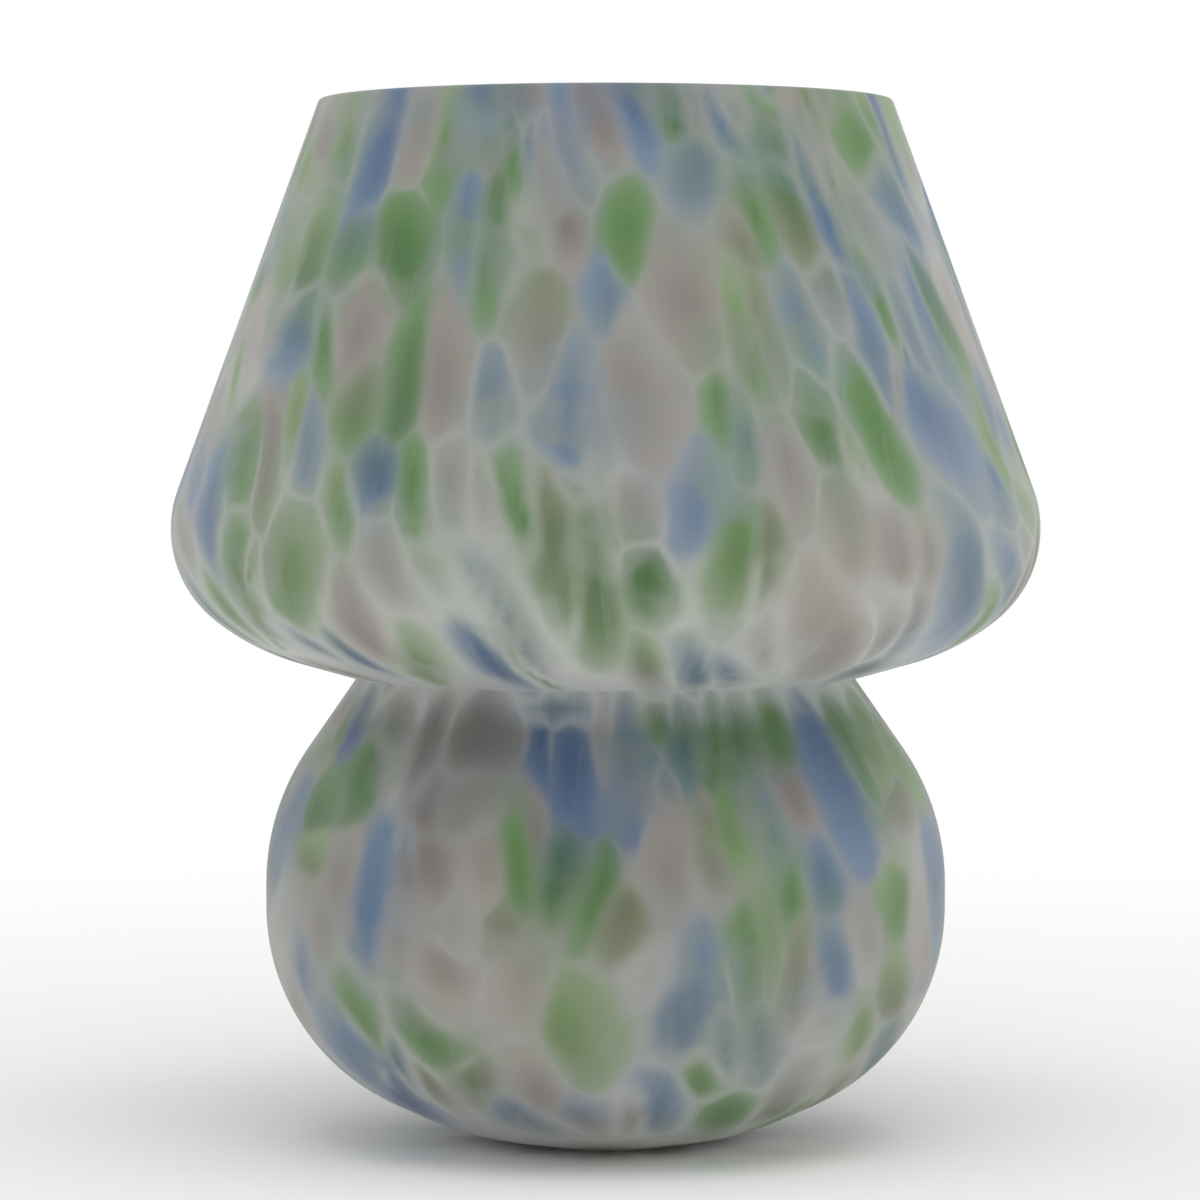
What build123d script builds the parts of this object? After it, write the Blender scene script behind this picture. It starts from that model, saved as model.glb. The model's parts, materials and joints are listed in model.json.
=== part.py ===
from build123d import *
from math import atan2, hypot, pi, radians, tan
import os

# Mushroom table lamp: one blown-glass body (shade, neck and base in one wall), open at the
# top, with an E14 lampholder on a short stem that is clamped through the foot.
# Millimetres. Z is the lamp's axis, z = 0 is the table, and the cable hole faces +Y.

# ---- glass body -------------------------------------------------------------------------
# The outline runs through corners that are rounded by the radii named beside them.
rim_radius = 65.8              # open mouth
rim_height = 238.8             # heights in this block are above the glass foot
shade_radius = 100.0           # widest part of the shade
shade_side_top = 145.0
shade_side_bottom = 127.2
shade_top_round = 25.3
shade_bottom_round = 26.4
underside_radius = 81.2        # knee in the shade's underside
underside_height = 112.7
underside_round = 52.0
neck_radius = 57.4             # sharp crease between shade and base
neck_height = 105.9
base_radius = 78.4
shoulder_height = 75.7
shoulder_round = 54.8
hip_height = 21.8
hip_round = 49.3
foot_corner_radius = 31.8      # where the bottom's slope would meet the foot plane
foot_round = 53.3
punt_radius = 14.0             # push-up under the foot that hides the clamp nut
punt_top_radius = 12.8
punt_depth = 9.0
punt_edge_round = 1.2
wall = 3.6
rim_polish = 1.2               # rounded edges of the cut rim
drill_radius = 6.0             # hole for the threaded tube
cable_hole_radius = 5.1        # drilled square to the wall, midway round the hip

# ---- seals and foot ---------------------------------------------------------------------
foot_ring_thickness = 1.0
foot_ring_inner = 15.2
foot_ring_outer = 19.8
gasket_radius = 11.0
gasket_thickness = 1.5
grommet_flange_radius = 7.6
grommet_flange = 1.6
grommet_chamfer = 0.6
cable_bore_radius = 3.1

# ---- clamp and stem ---------------------------------------------------------------------
thread_radius = 5.0            # M10 x 1 lighting thread
thread_bore = 4.0              # hollow tube
washer_radius = 11.0
washer_thickness = 1.2
nut_across_flats = 14.0
nut_thickness = 3.0
nipple_stand_out = 1.0
plate_radius = 22.0
plate_flat_radius = 13.0
plate_drop = 3.0
plate_thickness = 1.2
tooth_washer_radius = 8.6
tooth_washer_thickness = 0.8
tooth_count = 12
stem_radius = 8.0
stem_length = 30.0
stem_thread_depth = 10.0
stem_chamber_radius = 6.2
stem_window_radius = 4.0
stem_chamfer = 0.6
bush_flange = 1.2
bush_flange_radius = 5.2

# ---- lampholder -------------------------------------------------------------------------
cap_boss_radius = 8.0
cap_boss_height = 6.0
cap_thread_depth = 8.0
cap_radius = 14.0
cap_shoulder = 11.0
cap_length = 16.0
cap_round = 3.0
spigot_radius = 12.1
spigot_length = 8.0
cap_wall = 1.8
lock_screw_radius = 1.5
core_flange_thickness = 3.0
core_block_radius = 9.4
core_block_length = 11.0
core_web = 9.0
core_cup_radius = 9.6
core_cup_length = 11.0
core_ledge = 2.5               # ledge that carries the screw shell, above the flange
core_well_radius = 5.0
core_well = 1.0
shell_length = 17.0
shell_sheet = 0.4
shell_lip_radius = 5.6
sleeve_length = 37.0
sleeve_straight = 18.0
sleeve_top_radius = 13.0
sleeve_bore_radius = 11.0
sleeve_edge_round = 0.8
grip_count = 24                # grip grooves round the sleeve's foot
grip_radius = 0.7
grip_depth = 0.5
grip_length = 12.0
strip_thickness = 0.5
strip_width = 4.0
leg_radius = 4.2               # the contacts' upright runs, inside the well
tongue_rise = 2.6
tongue_half_width = 1.7
tab_radius = 7.2
terminal_offset = 6.9
terminal_radius = 1.3
terminal_head_radius = 2.2
terminal_head = 1.3
terminal_depth = 6.0

# ---- bulb (E14 globe) -------------------------------------------------------------------
edison_radius = 6.9            # crest of the E14 thread on the bulb
bulb_length = 78.0
globe_radius = 22.5
globe_wall = 1.1
eyelet_radius = 2.4
eyelet_height = 1.0
eyelet_chamfer = 0.4
insulator_height = 3.0
bulb_cap_length = 15.6
bulb_cap_sheet = 0.4
bulb_neck_radius = 7.8
bulb_neck_length = 5.0
bulb_neck_round = 9.0
bulb_cheek_radius = 17.0       # corner that rounds the housing up to the seam
bulb_cheek_drop = 6.0
bulb_cheek_round = 12.0
seam_radius = 18.4
led_board_radius = 14.5
led_board_thickness = 1.2

# ---- fits -------------------------------------------------------------------------------
thread_clearance = 0.05
edison_clearance = 0.08
seat_clearance = 0.05
soft_clearance = 0.1

# ---- heights of the stack, from the table up --------------------------------------------
foot = foot_ring_thickness
clamp_face = foot + punt_depth                       # flat top of the push-up, outside
seat_face = clamp_face + wall                        # the same flat inside the glass
washer_top = clamp_face - gasket_thickness
nut_top = washer_top - washer_thickness
nipple_foot = nut_top - nut_thickness - nipple_stand_out
plate_bottom = seat_face + gasket_thickness
tooth_bottom = plate_bottom + plate_thickness
stem_bottom = tooth_bottom + tooth_washer_thickness
stem_top = stem_bottom + stem_length
window_height = stem_bottom + stem_length / 2
sleeve_bottom = stem_top + cap_length
flange_bottom = sleeve_bottom + spigot_length
flange_top = flange_bottom + core_flange_thickness
shell_bottom = flange_top + core_ledge
well_floor = flange_top + core_well
block_bottom = flange_bottom - core_block_length
bulb_bottom = well_floor + tongue_rise + seat_clearance
sleeve_top = sleeve_bottom + sleeve_length
globe_centre = bulb_bottom + bulb_length - globe_radius
seam_height = globe_centre - (globe_radius**2 - seam_radius**2) ** 0.5


def rounded_line(corners, rounds):
    """A polyline with rounded corners; rounds that are too large for their sides shrink to fit."""
    sides = [hypot(b[0] - a[0], b[1] - a[1]) for a, b in zip(corners, corners[1:])]
    headings = [atan2(b[1] - a[1], b[0] - a[0]) for a, b in zip(corners, corners[1:])]
    turns = [abs((b - a + radians(180)) % radians(360) - radians(180))
             for a, b in zip(headings, headings[1:])]
    runs = [0.0] + [r * tan(turn / 2) for r, turn in zip(rounds, turns)] + [0.0]
    spare = [min(1.0, 0.999 * side / max(runs[i] + runs[i + 1], 1e-9))
             for i, side in enumerate(sides)]
    fitted = [r * min(spare[i], spare[i + 1]) for i, r in enumerate(rounds)]
    return FilletPolyline(*corners, radius=fitted)


def turned(*lines):
    """The solid of revolution of a closed outline drawn as (radius, height)."""
    return revolve(Plane.XZ * make_face(Curve() + list(lines)), Axis.Z)


def ring(outer, inner, bottom, thickness):
    """A flat ring on the lamp's axis."""
    blank = Cylinder(outer, thickness, align=(Align.CENTER, Align.CENTER, Align.MIN))
    hole = Cylinder(inner, thickness, align=(Align.CENTER, Align.CENTER, Align.MIN))
    return Pos(0, 0, bottom) * (blank - hole)


def upright(radius, bottom, top):
    """A solid cylinder on the lamp's axis."""
    return Pos(0, 0, bottom) * Cylinder(radius, top - bottom,
                                        align=(Align.CENTER, Align.CENTER, Align.MIN))


# ---- glass body -------------------------------------------------------------------------
glass_corners = [
    (rim_radius, rim_height),
    (shade_radius, shade_side_top),
    (shade_radius, shade_side_bottom),
    (underside_radius, underside_height),
    (neck_radius, neck_height),
    (base_radius, shoulder_height),
    (base_radius, hip_height),
    (foot_corner_radius, 0),
    (punt_radius, 0),
    (punt_top_radius, punt_depth),
    (drill_radius, punt_depth),
]
glass_rounds = [shade_top_round, shade_bottom_round, underside_round, 0, shoulder_round,
                hip_round, foot_round, punt_edge_round, punt_edge_round]

rim = Vector(*glass_corners[0])
past_rim = rim + (rim - Vector(*glass_corners[1])).normalized() * wall
outside = rounded_line([(past_rim.X, past_rim.Y)] + glass_corners[1:], glass_rounds)

# The cable leaves along the normal of the hip's curve.
hip = outside.edges().sort_by_distance(Vector(base_radius, hip_height))[0]
hip_normal = (hip @ 0.5 - hip.arc_center).normalized()
cable_exit = Plane((0, (hip @ 0.5).X, foot + (hip @ 0.5).Y), x_dir=(1, 0, 0),
                   z_dir=(0, hip_normal.X, hip_normal.Y))


def glass_wall():
    """The blown wall before the cable hole is drilled, ground flat at the rim."""
    section = make_face(offset(outside, amount=wall, side=Side.RIGHT).edges())
    body = Pos(0, 0, foot) * revolve(Plane.XZ * section, Axis.Z)
    body -= upright(2 * rim_radius, foot + rim_height, foot + rim_height + 2 * wall)
    rim_edges = body.edges().filter_by(GeomType.CIRCLE).group_by(Axis.Z)[-1]
    return fillet(rim_edges, min(rim_polish, 0.4 * wall))


def glass_body():
    return glass_wall() - cable_exit * Cylinder(cable_hole_radius, 8 * wall)


def foot_ring():
    return ring(foot_ring_outer, foot_ring_inner, 0, foot_ring_thickness)


def cable_grommet():
    """A soft bush whose two flanges take the curve of the glass they close on."""
    outer_face = grommet_flange
    inner_face = -wall - grommet_flange
    middle = (outer_face + inner_face) / 2
    blank = Pos(0, 0, middle) * Cylinder(grommet_flange_radius, outer_face - inner_face)
    blank = chamfer(blank.edges().filter_by(GeomType.CIRCLE), grommet_chamfer)
    plug = cable_exit * Pos(0, 0, middle) * Cylinder(cable_hole_radius - soft_clearance, 4 * wall)
    bush = cable_exit * blank - (glass_wall() - plug)
    return bush - cable_exit * Cylinder(cable_bore_radius, 8 * wall)


# ---- clamp and stem ---------------------------------------------------------------------
def lower_gasket():
    return ring(gasket_radius, thread_radius + soft_clearance, washer_top, gasket_thickness)


def upper_gasket():
    return ring(gasket_radius, thread_radius + soft_clearance, seat_face, gasket_thickness)


def clamp_washer():
    return ring(washer_radius, thread_radius + 4 * thread_clearance, nut_top, washer_thickness)


def clamp_nut():
    """A hexagon nut with its corners turned off."""
    corner_radius = nut_across_flats / 3**0.5
    edge_drop = (corner_radius - nut_across_flats / 2) * tan(radians(30))
    hexagon = extrude(RegularPolygon(nut_across_flats / 2, 6, major_radius=False), nut_thickness)
    cone = turned(Polyline((0, 0), (nut_across_flats / 2, 0), (corner_radius, edge_drop),
                           (corner_radius, nut_thickness - edge_drop),
                           (nut_across_flats / 2, nut_thickness), (0, nut_thickness), close=True))
    nut = Pos(0, 0, nut_top - nut_thickness) * (hexagon & cone)
    return nut - upright(thread_radius + thread_clearance, 0, nut_top + 1)


def threaded_tube(bottom, top):
    return ring(thread_radius, thread_bore, bottom, top - bottom)


def lower_nipple():
    return threaded_tube(nipple_foot, stem_bottom + stem_thread_depth)


def upper_nipple():
    return threaded_tube(stem_top - stem_thread_depth, stem_top + cap_thread_depth)


def seat_plate():
    """A pressed dish: flat where it is clamped, with a skirt that drops towards the glass."""
    line = Polyline((thread_radius + 2 * thread_clearance, tooth_bottom),
                    (plate_flat_radius, tooth_bottom),
                    (plate_radius, tooth_bottom - plate_drop))
    return turned(*offset(line, amount=plate_thickness, side=Side.RIGHT).edges())


def tooth_washer():
    """An external-tooth lock washer."""
    blank = ring(tooth_washer_radius, thread_radius + 2 * thread_clearance, tooth_bottom,
                 tooth_washer_thickness)
    gap = pi * tooth_washer_radius / tooth_count
    notch = Pos(tooth_washer_radius, 0, tooth_bottom) * Box(
        tooth_washer_radius - thread_radius, gap, 4 * tooth_washer_thickness)
    return blank - [Rot(0, 0, 360 * i / tooth_count) * notch for i in range(tooth_count)]


def stem_tube():
    """Threaded at both ends, with a chamber and a side window where the cable enters."""
    chamber_bottom = stem_bottom + stem_thread_depth
    chamber_top = stem_top - stem_thread_depth
    tube = upright(stem_radius, stem_bottom, stem_top)
    tube = chamfer(tube.edges().filter_by(GeomType.CIRCLE), stem_chamfer)
    tube -= upright(thread_radius + thread_clearance, stem_bottom, stem_top)
    tube -= upright(stem_chamber_radius, chamber_bottom, chamber_top)
    return tube - window_axis() * Cylinder(stem_window_radius, 2 * stem_radius)


def window_axis():
    """The side window's axis, pointing out of the stem towards the cable hole."""
    return Plane((0, stem_radius, window_height), x_dir=(1, 0, 0), z_dir=(0, 1, 0))


def stem_bush():
    """An insulating bush whose flange is saddled to the round stem."""
    flange = window_axis() * Cylinder(bush_flange_radius, 2 * bush_flange)
    plug = window_axis() * Pos(0, 0, -1) * Cylinder(stem_window_radius - soft_clearance, 4)
    bush = flange - upright(stem_radius, stem_bottom, stem_top) + plug
    bush -= upright(stem_chamber_radius, stem_bottom, stem_top)
    return bush - window_axis() * Cylinder(cable_bore_radius, 4 * stem_radius)


# ---- lampholder -------------------------------------------------------------------------
def both_sides(shape):
    """A shape drawn on the right and its copy half a turn round the lamp's axis."""
    return [shape, Rot(0, 0, 180) * shape]


def lock_axis():
    """The lock screw's axis, from the lamp's axis out to the front."""
    return Plane((0, 0, stem_top + cap_thread_depth / 2), x_dir=(1, 0, 0), z_dir=(0, -1, 0))


def holder_cap():
    """A moulded dome with a threaded boss below and a spigot that takes the sleeve above."""
    dome = rounded_line([(cap_boss_radius, stem_top), (cap_boss_radius, stem_top + cap_boss_height),
                         (cap_radius, stem_top + cap_shoulder), (cap_radius, sleeve_bottom)],
                        [cap_round, cap_round])
    chamber_radius = spigot_radius - cap_wall
    inside = Polyline((cap_radius, sleeve_bottom), (spigot_radius, sleeve_bottom),
                      (spigot_radius, flange_bottom), (chamber_radius, flange_bottom),
                      (chamber_radius, block_bottom - 2 * terminal_head),
                      (cap_boss_radius - cap_wall, stem_top + cap_thread_depth),
                      (thread_radius + thread_clearance, stem_top + cap_thread_depth),
                      (thread_radius + thread_clearance, stem_top), (cap_boss_radius, stem_top))
    cap = turned(*dome.edges(), *inside.edges())
    drilling = Cylinder(lock_screw_radius + thread_clearance, cap_radius,
                        align=(Align.CENTER, Align.CENTER, Align.MIN))
    return cap - lock_axis() * drilling


def lock_screw():
    """A grub screw that bears on the threaded tube."""
    length = cap_boss_radius - thread_radius
    return lock_axis() * Pos(0, 0, thread_radius + length / 2) * Cylinder(lock_screw_radius, length)


def contact_strip(route, clearance=0.0):
    """A flat strip bent along a route drawn as (x, height)."""
    half = strip_thickness / 2 + clearance
    section = make_face(offset(Polyline(*route), amount=half, kind=Kind.INTERSECTION).edges())
    return extrude(Plane.XZ * section, strip_width / 2 + clearance, both=True)


def strip_foot_height():
    return block_bottom - strip_thickness / 2


def side_route():
    """From under the terminal block, up inside the well and out beneath the screw shell."""
    tab_height = shell_bottom - strip_thickness / 2
    return [(core_block_radius, strip_foot_height()), (leg_radius, strip_foot_height()),
            (leg_radius, tab_height), (tab_radius, tab_height)]


def centre_route():
    """From under the terminal block, up inside the well and over as a springy tongue."""
    crest = well_floor + tongue_rise - strip_thickness / 2
    return [(-core_block_radius, strip_foot_height()), (-leg_radius, strip_foot_height()),
            (-leg_radius, well_floor + tongue_rise / 2), (-tongue_half_width, crest),
            (tongue_half_width, crest), (2 * tongue_half_width, crest - strip_thickness)]


def terminal_hole():
    """Clearance for one terminal screw, driven from below."""
    return Pos(terminal_offset, 0, 0) * upright(
        terminal_radius + thread_clearance, block_bottom - 2 * strip_thickness,
        block_bottom + terminal_depth)


def holder_core():
    """The insert: a flange held between cap and sleeve, a terminal block below, a cup above."""
    core = upright(spigot_radius, flange_bottom, flange_top)
    web = Pos(0, 0, block_bottom + core_block_length / 2) * Box(
        2 * core_block_radius, core_web, core_block_length)
    core += web & upright(core_block_radius, block_bottom, flange_bottom)
    core += upright(core_cup_radius, flange_top, flange_top + core_cup_length)
    core -= upright(edison_radius + edison_clearance + shell_sheet + seat_clearance, shell_bottom,
                    flange_top + core_cup_length)
    core -= upright(core_well_radius, well_floor, shell_bottom)
    core -= [contact_strip(route, soft_clearance) for route in (side_route(), centre_route())]
    return core - both_sides(terminal_hole())


def side_contact():
    return contact_strip(side_route()) - terminal_hole()


def centre_contact():
    return contact_strip(centre_route()) - both_sides(terminal_hole())


def terminal_screws():
    """Two identical screws that clamp the conductors under the contact strips."""
    head_top = block_bottom - strip_thickness
    screw = upright(terminal_head_radius, head_top - terminal_head, head_top)
    screw += upright(terminal_radius, head_top, block_bottom + terminal_depth)
    return both_sides(Pos(terminal_offset, 0, 0) * screw)


def screw_shell():
    """The E14 shell in thin sheet, with a lip at the bottom that stands on the core's ledge."""
    inner = edison_radius + edison_clearance
    outer = inner + shell_sheet
    top = shell_bottom + shell_length
    return turned(*Polyline((shell_lip_radius, shell_bottom), (outer, shell_bottom), (outer, top),
                            (inner, top), (inner, shell_bottom + shell_sheet),
                            (shell_lip_radius, shell_bottom + shell_sheet), close=True).edges())


def holder_sleeve():
    """The skirt that screws over the spigot and presses the core's flange on to the cap."""
    outer = rounded_line([(sleeve_bore_radius, sleeve_top), (sleeve_top_radius, sleeve_top),
                          (cap_radius, sleeve_bottom + sleeve_straight),
                          (cap_radius, sleeve_bottom)], [sleeve_edge_round, cap_radius])
    thread = spigot_radius + thread_clearance
    inner = Polyline((cap_radius, sleeve_bottom), (thread, sleeve_bottom), (thread, flange_top),
                     (sleeve_bore_radius, flange_top), (sleeve_bore_radius, sleeve_top))
    sleeve = turned(*outer.edges(), *inner.edges())
    groove = Pos(cap_radius + grip_radius - grip_depth, 0, 0) * upright(
        grip_radius, sleeve_bottom, sleeve_bottom + grip_length)
    return sleeve - [Rot(0, 0, 360 * i / grip_count) * groove for i in range(grip_count)]


# ---- bulb -------------------------------------------------------------------------------
insulator_bottom = bulb_bottom + eyelet_height
bulb_cap_bottom = insulator_bottom + insulator_height
bulb_cap_top = bulb_cap_bottom + bulb_cap_length
plug_radius = edison_radius - bulb_cap_sheet


def bulb_eyelet():
    eyelet = upright(eyelet_radius, bulb_bottom, insulator_bottom)
    return chamfer(eyelet.edges().group_by(Axis.Z)[0], eyelet_chamfer)


def bulb_insulator():
    """The cone of insulation between the eyelet and the screw cap."""
    return turned(*Polyline((0, insulator_bottom), (1.2 * eyelet_radius, insulator_bottom),
                            (plug_radius, bulb_cap_bottom), (0, bulb_cap_bottom),
                            close=True).edges())


def bulb_cap():
    """The screw cap: thin sheet, turned in at the bottom."""
    cap = ring(edison_radius, plug_radius, bulb_cap_bottom, bulb_cap_length)
    return chamfer(cap.edges().filter_by(GeomType.CIRCLE).sort_by(SortBy.RADIUS)[-2:]
                   .group_by(Axis.Z)[0], 0.7 * bulb_cap_sheet)


def bulb_housing():
    """The moulded body: a plug inside the cap, a neck, and a flare up to the globe's seam."""
    flare = rounded_line([(bulb_neck_radius, bulb_cap_top),
                          (bulb_neck_radius, bulb_cap_top + bulb_neck_length),
                          (bulb_cheek_radius, seam_height - bulb_cheek_drop),
                          (seam_radius, seam_height)], [bulb_neck_round, bulb_cheek_round])
    rest = Polyline((seam_radius, seam_height), (0, seam_height), (0, bulb_cap_bottom),
                    (plug_radius - seat_clearance, bulb_cap_bottom),
                    (plug_radius - seat_clearance, bulb_cap_top), (bulb_neck_radius, bulb_cap_top))
    return turned(*flare.edges(), *rest.edges())


def led_board():
    return upright(led_board_radius, seam_height, seam_height + led_board_thickness)


def bulb_globe():
    """The opal envelope, a thin ball cut off at the seam."""
    ball = Sphere(globe_radius) - Sphere(globe_radius - globe_wall)
    return Pos(0, 0, globe_centre) * ball - upright(globe_radius + 1, bulb_bottom, seam_height)


# ---- files ------------------------------------------------------------------------------
os.makedirs("parts", exist_ok=True)
pieces = [glass_body, foot_ring, cable_grommet, lower_gasket, upper_gasket, clamp_washer,
          clamp_nut, lower_nipple, seat_plate, tooth_washer, stem_tube, stem_bush, upper_nipple,
          holder_cap, lock_screw, holder_core, side_contact, centre_contact, terminal_screws,
          screw_shell, holder_sleeve, bulb_eyelet, bulb_insulator, bulb_cap, bulb_housing,
          led_board, bulb_globe]
for piece in pieces:
    solids = piece()
    if isinstance(solids, list):
        solids = Compound(children=solids)
    export_step(solids, f"parts/{piece.__name__}.step")
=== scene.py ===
"""Mushroom table lamp: the looks of the blown glass and of the fittings inside it.

Everything is in metres in the lamp's own frame: z is up, the table is z = 0, and the camera
looks along +y. Angles round the lamp are in degrees, 0 at the front and + to the right.
Heights on the glass are in millimetres above the glass foot.
"""

import json
from cmath import phase, rect
from math import atan2, ceil, cos, degrees, pi, radians, sin, tan

import bmesh
import bpy
import numpy as np
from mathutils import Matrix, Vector

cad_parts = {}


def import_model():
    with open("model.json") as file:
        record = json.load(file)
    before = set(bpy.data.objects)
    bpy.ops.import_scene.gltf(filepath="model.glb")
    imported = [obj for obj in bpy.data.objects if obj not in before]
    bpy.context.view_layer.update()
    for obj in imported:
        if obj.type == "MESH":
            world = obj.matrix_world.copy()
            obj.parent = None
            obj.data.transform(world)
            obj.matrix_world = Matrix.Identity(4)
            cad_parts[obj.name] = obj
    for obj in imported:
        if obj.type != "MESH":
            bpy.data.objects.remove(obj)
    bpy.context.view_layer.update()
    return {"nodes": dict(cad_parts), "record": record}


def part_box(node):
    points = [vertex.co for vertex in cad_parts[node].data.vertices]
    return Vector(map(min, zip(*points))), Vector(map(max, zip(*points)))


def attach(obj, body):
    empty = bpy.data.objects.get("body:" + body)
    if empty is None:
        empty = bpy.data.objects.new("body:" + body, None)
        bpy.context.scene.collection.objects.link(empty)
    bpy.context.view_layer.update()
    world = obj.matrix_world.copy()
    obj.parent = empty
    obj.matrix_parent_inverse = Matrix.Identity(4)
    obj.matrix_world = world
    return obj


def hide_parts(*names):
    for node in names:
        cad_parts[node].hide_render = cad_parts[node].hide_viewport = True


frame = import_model()

MM = 0.001
NEAR_ZERO = 1e-9                   # keeps a quotient finite

# ---- camera, measured on the photograph ------------------------------------------------------
CAMERA_DISTANCE = 1127 * MM        # from the lamp's axis
CAMERA_HEIGHT = 174.4 * MM
CAMERA_ASIDE = -1.3 * MM           # the lamp stands a little right of the middle
CAMERA_DROP = 2.525                # degrees below the horizon
CAMERA_LENS, SENSOR_WIDTH = 146.5, 36    # mm
CAMERA_CLIP = 0.05, 20             # metres
PHOTO_WIDTH = 1200                 # pixels
PHOTO_FOCUS = CAMERA_LENS / SENSOR_WIDTH * PHOTO_WIDTH

# ---- the glass outline: corners (radius, height) from the rim down, and their rounds, in mm ----
WALL = 3.6
RIM_POLISH = 1.2
OUTLINE = [
    ((65.8, 238.8), RIM_POLISH),   # ground rim
    ((100.0, 145.0), 25.3),        # belly of the shade
    ((100.0, 127.2), 26.4),
    ((81.2, 112.7), 52.0),         # underside
    ((57.4, 105.9), 0.0),          # crease at the neck
    ((78.4, 75.7), 54.8),          # shoulder of the base
    ((78.4, 21.8), 49.3),          # hip of the base
    ((31.8, 0.0), 53.3),           # foot
    ((14.0, 0.0), 1.2),            # push-up under the foot
    ((12.8, 9.0), 1.2),
    ((6.0, 9.0), 0.0),             # hole for the threaded tube
]
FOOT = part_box("glass_body")[0].z / MM
OUTSIDE_STEP = 2.2                 # spacing of the mesh along the wall
INSIDE_STEP = 4.4
COLUMNS = 288                      # of mesh round the lamp
FINE_STEP = 0.5                    # of the line on which places on the wall are looked up
FOOT_LEVEL = 0.01                  # below this, in mm, the outline is on the foot
SIDE_SHARE = 0.999                 # how much of a side its two rounds may take
ROUND_STEPS = 3                    # at least, in every round

# ---- the cable hole at the back --------------------------------------------------------------
CABLE_HOLE = 5.1 * MM              # radius
DRILL_LENGTH, DRILL_SIDES = 30 * MM, 48
CABLE_MOUNT = next(m for m in frame["record"]["mounts"] if m["name"] == "cable_inlet")

# ---- the chips of coloured glass -------------------------------------------------------------
TONES = {                          # sRGB, 0 to 255
    "deep_blue": (58, 89, 128), "blue": (82, 110, 140), "steel": (106, 124, 136),
    "lavender": (108, 124, 148), "teal": (76, 106, 106), "deep_teal": (52, 84, 86),
    "green": (81, 122, 63), "deep_green": (58, 101, 48), "pale_green": (114, 140, 92),
    "olive": (105, 113, 84), "mauve": (134, 127, 121), "dark_mauve": (109, 101, 98),
    # The darkest grey is grey with painted shade, for chips under the shade's overhang.
    "grey": (138, 136, 132), "grey_in_painted_shade": (108, 106, 104), "pale": (161, 161, 157),
    "rose": (152, 144, 137),
}
MILK_AND_PAINTED_LIGHT = [                           # height, tone of the milky glass with painted light and shade, how far chips fade into it
    (239, (138, 141, 137), 0.16), (200, (147, 149, 145), 0.18), (165, (151, 153, 149), 0.22),
    # Paler on the shade's underside: partly thinner blown glass, partly painted light from below.
    (145, (162, 164, 160), 0.3), (127, (184, 186, 180), 0.42), (112, (206, 207, 202), 0.5),
    # Paler at the crease as painted light, and darker below it on the base's shoulder as painted
    # shade under the shade's overhang.
    (106, (210, 212, 210), 0.6), (101, (186, 188, 186), 0.4), (97, (148, 150, 147), 0.15),
    (84, (131, 133, 130), 0.15), (60, (144, 144, 140), 0.25), (35, (161, 161, 158), 0.34),
    # Paler in the last mm of the foot: painted light where the foot stands in shade.
    (10, (182, 182, 179), 0.42), (2, (212, 212, 209), 0.6),
]
VEIN_LIGHT = 1.16                  # veins against the milky glass
TIP_TAPER = 0.28                   # 0 would make chips ellipses, and more makes them leaves
CORE_SHIFT = 0.3                   # how far from a chip's middle its core may be
CORE_SHADES, CORE_REACH = (0.84, 1.1), 1.1   # a chip's tone at its core and this far out
FADE_START, FADE_RANGE, FADE_POWER = 0.3, 0.95, 1.2    # a chip's fade into the milky glass
TONE_BLEND = 0.62                  # how fast a chip's upper tone turns into its lower one
EDGE_SOFTNESS = 1e-4               # keeps the distance to a chip's edge finite
LEAN = 0.14                        # degrees that a strewn chip turns per mm down

# ---- the glass between and over the chips ------------------------------------------------------
HALO, VEIN, GAP, CLOUD, STREAK = 0.1, 0.36, 0.34, 0.08, 0.14   # how much milky glass each adds
HALO_WIDTH, THIN_VEIN, WIDE_VEIN = 11, 2.5, 8        # mm
GAP_DEPTH = -0.4, 3.6              # mm past a chip's edge from where to where a gap turns milky
GRAIN_RADIUS, GRAIN_STRETCH = 80, 0.07               # mm, and what draws streaks out downwards

# Each is a noise (features a metre, detail, roughness) and the smooth step taken of it (from,
# to, lowest, highest).
MEETING = (45, 2), (0.38, 0.62, 0.14, 0.75)          # how sharply two chips meet, per mm
VEIN_WIDTH = (30, 2), (0.35, 0.65, THIN_VEIN, WIDE_VEIN)
VEIN_PATCHES = (38, 2), (0.44, 0.62, 0.05, 1.0)
STREAKS = (420, 3, 0.55), (0.5, 0.8)
CLOUDS = (60, 4, 0.6), (0.3, 0.7)
MATTNESS = (55, 3), (0.3, 0.7, 0.46, 0.6)
ETCHED, WAVY, WAVE_HEIGHT = (2600, 2, 0.6), (70, 2), 6     # the noises of the bumps
ETCH_STRENGTH, ETCH_DEPTH = 0.12, 0.0002
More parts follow.
